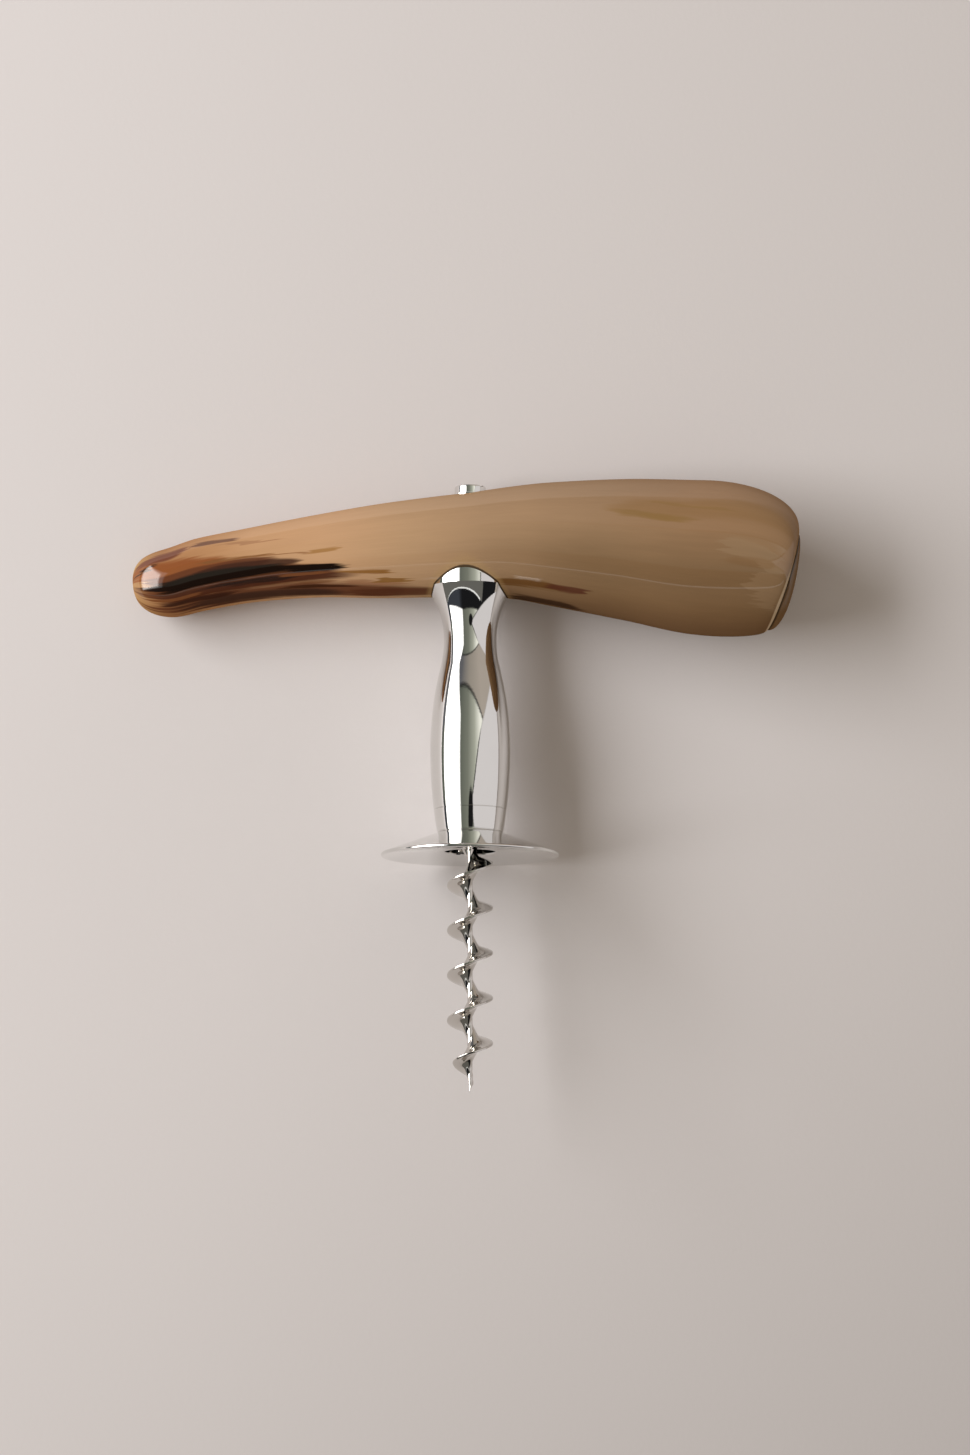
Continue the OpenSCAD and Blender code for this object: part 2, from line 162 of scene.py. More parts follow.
# %% Turn the guard disc
disc_r, rim_r, disc_h, bore_r = 19.5, 0.4, 5.2, 5.55
foot_r, neck_r, neck_top = 7.2, 6.25, 7.7
dish, bore_mouth_z, bore_edge = 1.1, 1.2, 0.15
dish_curve = ((disc_r - 2 * rim_r) ** 2 + dish ** 2) / (2 * dish)
dish_end = math.degrees(math.acos((disc_r - 2 * rim_r) / dish_curve))
dish_start = math.degrees(math.acos((bore_r + bore_edge) / dish_curve))
cone_slope = math.degrees(math.atan2(disc_h - 2 * rim_r, disc_r - foot_r))
guard_disc = turned("guard_disc_chrome", [
    (bore_r, bore_mouth_z), *arc(0, dish - dish_curve, dish_curve, dish_start, dish_end),
    *arc(disc_r - rim_r, rim_r, rim_r, -90, 90 - cone_slope, 20),
    (foot_r, disc_h), (neck_r, disc_h), (neck_r, neck_top), (bore_r, neck_top)], places=256, crisp=12)

# %% [markdown]
# ## The ferrule and the stem's outline
# The stem swells to a barrel, narrows to a waist and flares out under the horn. The ferrule
# carries on the same curve, so only a fine seam shows between the two. Each curve is an arc
# that touches the next one, as a turner would cut it with one sweep of the tool.

# %% Turn the ferrule
ferrule_top, barrel_z, waist_z = 10.3, 23.5, 47.9
barrel_r, waist_r, barrel_curve, flare_curve = 8.8, 5.8, 76, 20.0
bevel, seam_bevel, thread_gap = 0.22, 0.132, 0.05
foot_curve = ((barrel_z - disc_h) ** 2 + (barrel_r - foot_r) ** 2) / (2 * (barrel_r - foot_r))


def foot_angle(z):
    return math.degrees(math.asin((z - barrel_z) / foot_curve))


shoulder_r = barrel_r - foot_curve + foot_curve * math.cos(math.radians(foot_angle(ferrule_top)))
ferrule = turned("ferrule_chrome", [
    (neck_r + thread_gap, disc_h), (foot_r - bevel, disc_h),
    *arc(barrel_r - foot_curve, barrel_z, foot_curve, foot_angle(disc_h + bevel),
         foot_angle(ferrule_top - seam_bevel), 16),
    (shoulder_r - seam_bevel, ferrule_top), (neck_r + thread_gap, ferrule_top)])

# %% [markdown]
# ## The horn's form
# The handle is the tip of a real horn, so no simple rule gives its shape. It is drawn as a
# table of stations along x, each with the rise of its middle, its lean, its height and its
# depth, and a smooth curve runs through the stations. The tip is closed by a rounded nose. The
# wide end rounds over from above into a flat cut that leans, so the cut sits low on the horn.

# %% The horn's stations
tip_reach, base_reach = 75.2, 68.6
tip_height, mid_height, belly_height = 15.7, 23.2, 34.1
tip_round, belly_round = 0.97, 0.93
tip_drop, belly_drop, tip_lean, belly_lean = 8.0, 8.1, 5.0, 11.0
nose_length, nose_power = 12.5, 2.65
shut_start, cut_turn = 50.1, 8.8
cut = np.array([-9.36, 16.5, 21.7, 25.85])  # the cut's own rise, lean, height and depth
rise_power, lean_power, height_power, depth_power = 2.0, 2.2, 2.46, 3.0


def mix(a, b, t):
    return a + (b - a) * t


def station(share, rise, lean, blend, deep=None):
    """A station of the horn: shares of the tip's values on one side, of the wide end's beyond."""
    deep = blend if deep is None else deep
    if share < 0:
        return [share * tip_reach, rise * tip_drop, lean * tip_lean, mix(mid_height, tip_height, blend),
                mix(mid_height, tip_height * tip_round, deep)]
    return [share * base_reach, rise * belly_drop, lean * belly_lean, mix(mid_height, belly_height, blend),
            mix(mid_height, belly_height * belly_round, deep)]


stations = np.array([
    station(-1, -1, -1, 1), station(-0.89, -0.94, -1.2, 1), station(-0.8, -0.72, -1.4, 0.94),
    station(-0.66, -0.49, -1.3, 0.9), station(-0.47, -0.27, -1, 0.68), station(-0.27, -0.14, -0.6, 0.32),
    station(-0.13, -0.06, -0.3, 0.15), station(0, 0, 0, 0), station(0.14, 0.04, 0.05, 0.16),
    station(0.25, -0.01, 0.1, 0.36, 0.38), station(0.5, -0.2, 0.25, 0.73, 0.77),
    station(0.74, -0.45, 0.38, 1), station(1, -0.5, 0.4, 1)])
print(len(stations), "stations from", stations[0, 0], "to", stations[-1, 0], "mm")

# %% [markdown]
# Between two stations the values follow a cubic that takes its slope from the neighbours, so
# the form has no kink. A superellipse rounds the nose, because the real tip is blunt: a plain
# circle would make it too pointed.

# %% Read the horn anywhere
def round_over(u, power):
    """Runs from 0 to 1 like the side of a superellipse, flat at first and steep at the end."""
    return 1 - (1 - u ** power) ** (1 / power)


def horn_at(x):
    """The rise, lean, height and depth of the horn at x (an array of places)."""
    x = np.atleast_1d(np.asarray(x, float))
    last = len(stations) - 1
    k = np.clip(np.searchsorted(stations[:, 0], x, side="right") - 1, 0, last - 1)
    before, after = np.maximum(np.arange(last + 1) - 1, 0), np.minimum(np.arange(last + 1) + 1, last)
    slope = (stations[after] - stations[before]) / (stations[after, :1] - stations[before, :1])
    a, b = stations[k], stations[k + 1]
    w = (b[:, 0] - a[:, 0])[:, None]
    t = (x[:, None] - a[:, :1]) / w
    free = (a * (1 + t * t * (2 * t - 3)) + b * t * t * (3 - 2 * t) + slope[k] * w * t * (1 - t) ** 2
            - slope[k + 1] * w * t * t * (1 - t))[:, 1:]
    u = np.clip((x - shut_start) / (base_reach - shut_start), 0, 1)
    shut = np.stack([round_over(u, rise_power), u ** lean_power, round_over(u, height_power),
                     round_over(u, depth_power)], 1)
    return mix(free, cut, shut)


def horn_rings(x, turn, inset=0.0, scaled=1.0):
    """Rings of the horn at the places x, each with points at the angles turn."""
    x = np.atleast_1d(np.asarray(x, float))
    rise, lean, height, depth = horn_at(x).T
    s = np.clip((x + tip_reach) / nose_length, 0, 1)
    nose = (1 - (1 - s) ** nose_power) ** (1 / nose_power)
    high = (height / 2 * nose - inset) * scaled
    deep = (depth / 2 * nose - inset) * scaled
    t = np.clip((x - 0.5 * base_reach) / (0.5 * base_reach), 0, 1)
    yaw = np.radians(cut_turn) * t * t * (3 - 2 * t)
    lean = np.radians(lean)
    middle = np.stack([x, 0 * x, horn_z + rise], 1)[:, None]
    up = np.stack([np.sin(lean), 0 * x, np.cos(lean)], 1)[:, None] * high[:, None, None]
    back = np.stack([-np.sin(yaw), np.cos(yaw), 0 * x], 1)[:, None] * deep[:, None, None]
    return middle + back * np.cos(turn)[None, :, None] + up * np.sin(turn)[None, :, None]


def underside(x, y):
    """The height of the horn's underside above a place of the shank."""
    rise, _, height, depth = horn_at(np.ravel(x)).T
    nearly_one = 0.999
    share = np.clip(np.ravel(y) / (depth / 2), -nearly_one, nearly_one)
    return (horn_z + rise - height / 2 * np.sqrt(1 - share ** 2)).reshape(np.shape(x))


print("height of the horn over the shank:", round(float(horn_at(0)[0, 2]), 2), "mm")

# %% [markdown]
# ## The stem and its saddle
# On the real tool the top of the stem is cut to the shape of the horn, so the horn sits in it
# as in a saddle. A crisp edge runs round the flare, and above it a smooth collar goes up to
# the horn. The edge only shows in front and behind, because at the sides the horn hangs lower.
# A Boolean would leave long thin faces that chrome shows at once, so each column of the skin
# is cut to its own length instead, where it meets the horn.

# %% Turn the stem and cut its saddle
places = 288
turn = np.linspace(0, 2 * math.pi, places, endpoint=False)
crease_z, fit_gap = 59.5, 0.12
root_bore_r, screw_bore_r = 3.05, 2.0
flare_steps, collar_steps, edge_steps = 40, 12, 6
crease_r = waist_r + flare_curve - math.sqrt(flare_curve ** 2 - (crease_z - waist_z) ** 2)
centre_step = waist_r + barrel_curve - barrel_r
rise_to_waist = waist_z - barrel_z
waist_curve = (centre_step ** 2 + rise_to_waist ** 2 - barrel_curve ** 2) / (2 * (barrel_curve - centre_step))
blend = math.degrees(math.atan2(rise_to_waist, centre_step + waist_curve))
lower = ([(root_bore_r, neck_top), (neck_r, neck_top), (neck_r, ferrule_top),
          (shoulder_r - seam_bevel, ferrule_top)]
         + arc(barrel_r - foot_curve, barrel_z, foot_curve, foot_angle(ferrule_top + seam_bevel), 0, 30)
         + arc(barrel_r - barrel_curve, barrel_z, barrel_curve, 0, blend, 40, 1)
         + arc(waist_r + waist_curve, waist_z, waist_curve, 180 + blend, 180, 24, 1))
rows = [np.stack([r * np.cos(turn), r * np.sin(turn), 0 * turn + z], 1) for r, z in lower]


def flare_r(z):
    return waist_r + flare_curve - np.sqrt(flare_curve ** 2 - (z - waist_z) ** 2)


def cut_height(r):
    return underside(r * np.cos(turn), r * np.sin(turn)) - fit_gap


def add_ring(r, z):
    rows.append(np.stack([r * np.cos(turn), r * np.sin(turn), z], 1))


flare_end = np.full(places, crease_z)
for _ in range(40):
    flare_end = 0.5 * flare_end + 0.5 * np.minimum(crease_z, cut_height(flare_r(flare_end)))
collar_end = np.where(flare_end > crease_z - 1e-3, cut_height(0 * turn + crease_r), flare_end)
for k in range(1, flare_steps + 1):
    z = waist_z + (flare_end - waist_z) * k / flare_steps
    add_ring(flare_r(z), z)
rim, edge_round = flare_r(flare_end), 0.14
for k in range(1, collar_steps + 1):
    add_ring(rim, flare_end + (collar_end - edge_round - flare_end) * k / collar_steps)
for k in range(1, edge_steps + 1):
    bend = math.radians(90 * k / edge_steps)
    r = rim - edge_round * (1 - math.cos(bend))
    add_ring(r, cut_height(r) - edge_round * (1 - math.sin(bend)))
for inward in (0.2, 0.4, 0.6, 0.8, 1):
    r = mix(rim - edge_round, screw_bore_r, inward)
    add_ring(r, cut_height(r))
stem = skin("stem_chrome", rows, loop=True, crisp=24)
print("saddle cut between", flare_end.min().round(2), "and", collar_end.max().round(2), "mm")

# %% [markdown]
# ## Screw and washer
# A slotted screw holds the horn from above. Its head stands on a thin washer in a flat seat.
# The head is turned with a rounded edge, and a Boolean cuts the slot, which is fine here
# because the faces that it meets are flat.

# %% Turn the washer and the screw
seat_z = horn_z + mid_height / 2 - 0.9
washer_r, washer_h, washer_bore_r, washer_edge = 4.0, 0.5, 2.2, 0.05
washer_top = seat_z + washer_h
washer = turned("washer_chrome", [
    (washer_bore_r, seat_z), (washer_r - washer_edge, seat_z), (washer_r, seat_z + washer_edge),
    (washer_r, washer_top - 0.08), (washer_r - 0.08, washer_top),
    (washer_bore_r + washer_edge, washer_top), (washer_bore_r, washer_top - washer_edge)])
head_z, head_h, head_r, round_r, head_edge = washer_top, 1.9, 3.5, 0.45, 0.08
screw_r, screw_length = 1.95, 38
screw = turned("screw_chrome", [
    (0, head_z - screw_length), (screw_r, head_z - screw_length), (screw_r, head_z),
    (head_r - head_edge, head_z), (head_r, head_z + head_edge),
    *arc(head_r - round_r, head_z + head_h - round_r, round_r, 0, 90, 10),
    (1.5, head_z + head_h + 0.05), (0, head_z + head_h + 0.07)], places=128)


def carve(piece, cutter):
    """Cuts one piece from another and bakes the result into its mesh."""
    tool = piece.modifiers.new("cut", "BOOLEAN")
    tool.operation, tool.solver, tool.object = "DIFFERENCE", "EXACT", cutter
    piece.data = bpy.data.meshes.new_from_object(piece.evaluated_get(bpy.context.evaluated_depsgraph_get()))
    piece.modifiers.remove(tool)
    bpy.data.objects.remove(cutter)
    print(piece.name, "cut to", len(piece.data.polygons), "faces")


slot_turn, slot_half, slot_reach, slot_deep = math.radians(52), 0.5, 6, 0.5
side = slot_half * np.array([math.cos(slot_turn), math.sin(slot_turn), 0])
length = slot_reach * np.array([-math.sin(slot_turn), math.cos(slot_turn), 0])
corners = [[side * a + length * b + np.array([0, 0, z])
            for a, b in ((-1, -1), (1, -1), (1, 1), (-1, 1))]
           for z in (head_z + head_h - slot_deep, head_z + head_h + 1)]
carve(screw, skin("slot", corners, caps=True))

# %% [markdown]
# ## One language for node maths
# Both the worm's shape and the materials are made of many small sums. Typed as nodes they are
# hard to read, so a small class wraps a socket and lets Python's own signs add the Math nodes.
# Every other node comes from one method, which sets its options first and then its sockets.

# %% A bench for nodes
class Bench:
    """Adds nodes to one tree."""

    def __init__(self, tree):
        self.tree = tree

    def node(self, kind, settings=None, sockets=None):
        made = self.tree.nodes.new(kind)
        for name, value in (settings or {}).items():
            if name == "stops":
                ramp = made.color_ramp
                while len(ramp.elements) < len(value):
                    ramp.elements.new(0.5)
                for stop, (place, colour) in zip(ramp.elements, value):
                    stop.position, stop.color = place, (*colour, 1)
            else:
                setattr(made, name, value)
        for name, value in (sockets or {}).items():
            if isinstance(value, Wire):
                self.tree.links.new(value.socket, made.inputs[name])
            else:
                made.inputs[name].default_value = value
        return made

    def wire(self, kind, settings=None, sockets=None, out=0):
        return Wire(self, self.node(kind, settings, sockets).outputs[out])


class Wire:
    """One socket, with the sums that can be written on it."""

    def __init__(self, bench, socket):
        self.bench, self.socket = bench, socket

    def sum(self, operation, *others, clamp=False):
        values = dict(enumerate((self, *others)))
        return self.bench.wire("ShaderNodeMath", {"operation": operation, "use_clamp": clamp}, values)

    def __add__(self, other):
        return self.sum("ADD", other)

    def __sub__(self, other):
        return self.sum("SUBTRACT", other)

    def __mul__(self, other):
        return self.sum("MULTIPLY", other)

    def __truediv__(self, other):
        return self.sum("DIVIDE", other)

    def __pow__(self, other):
        return self.sum("POWER", other)

    def __neg__(self):
        return self * -1

    def __rsub__(self, other):
        return -self + other

    def __rpow__(self, other):
        return self.bench.wire("ShaderNodeMath", {"operation": "POWER"}, {0: other, 1: self})

    __radd__, __rmul__ = __add__, __mul__

    def __abs__(self):
        return self.sum("ABSOLUTE")

    def least(self, other):
        return self.sum("MINIMUM", other)

    def most(self, other):
        return self.sum("MAXIMUM", other)

    def smooth(self, start, end):
        """0 before start, 1 after end, and a soft step between."""
        return self.bench.wire("ShaderNodeMapRange", {"interpolation_type": "SMOOTHSTEP"},
                               {"Value": self, "From Min": start, "From Max": end})


# %% [markdown]
# ## The worm
# The worm is one blade wound round a slim core, which is a shape that follows a rule: its
# section is a comma that turns as it climbs. Geometry Nodes suit that well. A flat grid is
# taken as a sheet of graph paper, one way along the worm and the other way round it, and every
# point is moved to its place by the rule. The blade dies out at the point, and near the disc
# the section swells into the round root that the stem holds.

# %% The worm's rule as a node tree
def worm_tree():
    tree = bpy.data.node_groups.new("wound_blade", "GeometryNodeTree")
    face = tree.interface
    face.new_socket("Geometry", in_out="OUTPUT", socket_type="NodeSocketGeometry")
    sizes = [("Reach", 51.2), ("Pitch", 9.8), ("Radius", 5.0), ("Core", 0.55), ("Edge", 0.4),
             ("Point", 8.5), ("Turn", 57.0), ("Root", 2.58), ("Flank", 8.0), ("Cone", 112.0),
             ("Body", 0.44)]
    for name, value in sizes:
        face.new_socket(name, in_out="INPUT", socket_type="NodeSocketFloat").default_value = value
    for name, value in (("Rings", 300), ("Round", 65)):
        face.new_socket(name, in_out="INPUT", socket_type="NodeSocketInt").default_value = value
    face.new_socket("Finish", in_out="INPUT", socket_type="NodeSocketMaterial")
    bench = Bench(tree)
    given = tree.nodes.new("NodeGroupInput")
    size = {s.name: Wire(bench, s) for s in given.outputs if s.name}
    sheet = bench.wire("GeometryNodeMeshGrid", None, {
        "Size X": 1.0, "Size Y": 1.0, "Vertices X": size["Rings"], "Vertices Y": size["Round"]})
    place = bench.node("ShaderNodeSeparateXYZ", None, {0: bench.wire("GeometryNodeInputPosition")})
    along, around = Wire(bench, place.outputs["X"]) + 0.5, Wire(bench, place.outputs["Y"]) * 2
    height = along * (size["Reach"] + 3) - size["Reach"]
    # Points crowd at the edge of the blade. off is the angle from that edge, on either flank.
    off = 180 * (1 - abs(around)) ** 1.9
    side = around.sum("SIGN")
    angle = (180 - side * (180 - off) + size["Turn"] + 360 * height / size["Pitch"]) * (math.pi / 180)
    away = (off - 180 * size["Edge"] / size["Pitch"]).most(0)
    # The section is a thin blade, which falls off fast, on a cone, which falls off slowly.
    flat, cone = math.e ** -(away / size["Flank"]), (1 - away / size["Cone"]).most(0)
    share = flat + size["Body"] * (cone - flat)
    from_point = (height + size["Reach"]) / size["Point"]
    sharp = 260  # the grid's first and last rings close to a point over one part in 260
    core = size["Core"] * (0.2 + 0.8 * (from_point * 1.5).smooth(0, 1)) * (along * sharp).smooth(0, 1)
    grown = 0.5 * from_point.least(1) + 0.5 * from_point.smooth(0, 1)
    blade = (size["Radius"] * grown).most(core)
    worm_r = core + (blade - core) * share
    shank = worm_r + (size["Root"] - worm_r) * height.smooth(0.0, 7.0)
    r = shank * ((1 - along) * sharp).smooth(0, 1)
    spot = bench.wire("ShaderNodeCombineXYZ", None, {
        "X": r * angle.sum("COSINE"), "Y": r * angle.sum("SINE"), "Z": height})
    wound = bench.wire("GeometryNodeSetPosition", None, {"Geometry": sheet, "Position": spot})
    closed = bench.wire("GeometryNodeMergeByDistance", None, {"Geometry": wound, "Distance": 0.003})
    real = bench.wire("GeometryNodeRealizeInstances", None, {"Geometry": closed})
    done = bench.wire("GeometryNodeSetMaterial", None, {"Geometry": real, "Material": size["Finish"]})
    bench.node("NodeGroupOutput", None, {"Geometry": done})
    return tree


blade_rule = worm_tree()
print("the worm's rule has", len(blade_rule.nodes), "nodes")

# %% [markdown]
# ## Chrome
# Chrome plate is almost a mirror, so what it shows is the studio round it. Only two things
# break the mirror: fine polishing marks that blur it a little, and faint smears that change how
# much. The marks are noise, and they are kept so weak that the reflections stay clean.

# %% Mix the chrome
def new_material(name):
    material = bpy.data.materials.new(name)
    material.use_nodes = True
    tree = material.node_tree
    tree.nodes.clear()
    bench = Bench(tree)
    surface = bench.node("ShaderNodeBsdfPrincipled")
    bench.node("ShaderNodeOutputMaterial", None, {"Surface": Wire(bench, surface.outputs[0])})
    return material, bench, surface


def connect(bench, surface, **links):
    """Links values into the surface; an underscore in a name stands for a space."""
    for name, value in links.items():
        socket = surface.inputs[name.replace("_", " ")]
        if isinstance(value, Wire):
            bench.tree.links.new(value.socket, socket)
        else:
            socket.default_value = value


def chrome(name, tint=(0.80, 0.795, 0.78), rough=0.03):
    material, bench, surface = new_material(name)
    place = bench.wire("ShaderNodeTexCoord", out=3)
    smear = bench.wire("ShaderNodeTexNoise", None, {"Vector": place, "Scale": 60.0, "Detail": 3.0})
    marks = bench.wire("ShaderNodeTexNoise", None, {"Vector": place, "Scale": 2600.0, "Detail": 2.0})
    bump = bench.wire("ShaderNodeBump", None, {"Height": marks, "Strength": 0.012, "Distance": 0.0002})
    colour = bench.wire("ShaderNodeMix", {"data_type": "RGBA"}, {
        0: smear.smooth(0.35, 0.75), 6: (*tint, 1), 7: (*[0.93 * c for c in tint], 1)}, out=2)
    connect(bench, surface, Base_Color=colour, Metallic=1.0,
            Roughness=rough + 0.05 * smear.smooth(0.45, 0.8), Normal=bump)
    return material


chrome_plate = chrome("chrome_plate")
worm_steel = chrome("worm_steel", (0.66, 0.635, 0.60), 0.05)
for piece in (guard_disc, ferrule, stem, washer, screw):
    piece.data.materials.clear()
    piece.data.materials.append(chrome_plate)
print("chrome on", [p.name for p in (guard_disc, ferrule, stem, washer, screw)])

# %% [markdown]
# The tree is now run once. Its inputs are set by identifier before Blender first evaluates it,
# and the result is copied into a plain mesh. The tree works in drawn millimetres, so its points
# are laid down afterwards with the same rule as every other piece.

# %% Wind the worm
def wind_worm():
    holder = bpy.data.objects.new("worm_holder", bpy.data.meshes.new("worm_holder"))
    bpy.context.scene.collection.objects.link(holder)
    rule = holder.modifiers.new("wound_blade", "NODES")
    rule.node_group = blade_rule
    wanted = {"Finish": worm_steel, "Rings": 300, "Round": 65}
    for item in blade_rule.interface.items_tree:
        if item.in_out == "INPUT" and item.name in wanted:
            rule[item.identifier] = wanted[item.name]
    bpy.context.view_layer.update()
    mesh = bpy.data.meshes.new_from_object(holder.evaluated_get(bpy.context.evaluated_depsgraph_get()))
    bpy.data.objects.remove(holder)
    points = np.empty(len(mesh.vertices) * 3)
    mesh.vertices.foreach_get("co", points)
    mesh.vertices.foreach_set("co", lay_down(points.reshape(-1, 3)).ravel())
    mesh.name = "worm_blade"
    return finish_mesh("worm_blade", mesh, 50)


worm = wind_worm()
root_low, root_high, root_r, root_taper = 2.4, 22.2, 3.0, (0.4, 0.8)
root = turned("worm_root", [
    (0, root_low), (root_r - root_taper[0], root_low), (root_r, root_low + root_taper[1]),
    (root_r, root_high), (0, root_high)], places=96)
root.data.materials.append(worm_steel)

# %% [markdown]
# ## The horn and its end plate
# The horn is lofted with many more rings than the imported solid, because its polish shows every
# facet. Each point also keeps a note of where it is on the horn: how far along, and where on
# the section, as if the section were a circle. The streaks in the material read that note, so
# they taper and bend with the horn as the real ones do.

# %% Loft the horn
round_count, far = 144, 9
around = np.linspace(0, 2 * math.pi, round_count, endpoint=False)


def section_notes(x_of_rows):
    """For each row its x, and for each point the cosine and sine of its angle on the section."""
    count = len(x_of_rows)
    return np.stack([np.repeat(np.asarray(x_of_rows)[:, None], round_count, 1),
                     np.tile(np.cos(around), (count, 1)), np.tile(np.sin(around), (count, 1))], 2)


nose_part = -tip_reach + nose_length * (1 - np.cos(np.radians(np.linspace(3, 90, 44))))
body_part = np.linspace(nose_part[-1], shut_start, 110)[1:]
end_part = mix(shut_start, base_reach, 1 - (1 - np.linspace(0, 1, 61)[1:]) ** 2.3)  # close at the cut
places_x = np.concatenate([[-tip_reach], nose_part, body_part, end_part])
outer = horn_rings(places_x, around)
edge = horn_rings([base_reach], around, inset=0.12) + [0.05, 0, 0]
plug = [horn_rings([base_reach], around, inset=0.3, scaled=s) for s in (1, 0.6, 0.0)]
rows = np.concatenate([outer, edge, *plug])
to_cut = np.linalg.norm(rows - outer[-1], axis=2).clip(0, far)
bearing = np.arctan2(rows[..., 1], rows[..., 0]) % (2 * math.pi)
round_shank = np.hypot(rows[..., 0], rows[..., 1]) - np.interp(bearing, turn, rim, period=2 * math.pi)
to_stem = np.where(rows[..., 2] < horn_z, round_shank, far).clip(-far, far)
horn = skin("horn", rows, crisp=50, notes=section_notes([*places_x, *[base_reach] * 4]),
            marks={"to_cut": to_cut, "to_stem": to_stem})

# %% [markdown]
# The washer's seat is a flat-bottomed bore in the top of the horn, with a narrower bore for the
# screw. It is cut with a Boolean.

# %% Bore the seat
bore_deep, bore_high, seat_r = 1.5, 6, 4.2
bore = turned("seat_bore", [
    (0, seat_z - bore_deep), (washer_bore_r, seat_z - bore_deep), (washer_bore_r, seat_z), (seat_r, seat_z),
    (seat_r, seat_z + bore_high), (0, seat_z + bore_high)], places=96)
carve(horn, bore)
horn.data.set_sharp_from_angle(angle=math.radians(50))

# %% [markdown]
# A separate plate of the same horn closes the cut, with a spigot that goes into the hollow. It
# is domed like a lens, and the dome is a little fuller below. Its rings are those of the cut
# itself, only drawn in and lifted, so plate and horn meet all round, with a fine groove between.

# %% Cap the wide end
dome, dome_power, groove, fuller_below = 2.39, 2.1, 0.12, 0.48
spigot_inset, spigot_deep, plate_lift, dome_rings = 3.7, 3.5, 0.03, 26
centre, outward, top = (horn_rings([base_reach], np.array([turned_to]), scaled=size)[0, 0]
                        for turned_to, size in ((0.0, 0), (0.0, 1), (math.pi / 2, 1)))
normal = np.cross(outward - centre, top - centre)
normal /= np.linalg.norm(normal)


def cut_ring(inset=0.0, scaled=1.0, lift=0.0):
    """A ring in the plane of the cut, lifted off it along the axis of the plate."""
    return horn_rings([base_reach], around, inset=inset, scaled=scaled)[0] + lift * normal


rows = [cut_ring(scaled=0, lift=-spigot_deep), cut_ring(inset=spigot_inset, lift=-spigot_deep),
        cut_ring(inset=spigot_inset), cut_ring(inset=groove, lift=plate_lift)]
for t in np.sin(np.linspace(0, math.pi / 2, dome_rings)):
    scaled = (1 - t ** dome_power) ** (1 / dome_power)
    lift = mix(groove, dome * (1 - fuller_below * scaled * np.sin(around)), t)
    rows.append(cut_ring(scaled=scaled, lift=lift[:, None]))
end_plate = skin("horn_end_plate_polished", rows, crisp=50, notes=section_notes([base_reach] * len(rows)),
                 marks={"to_cut": np.linalg.norm(np.array(rows) - cut_ring(), axis=2).clip(0, far)})
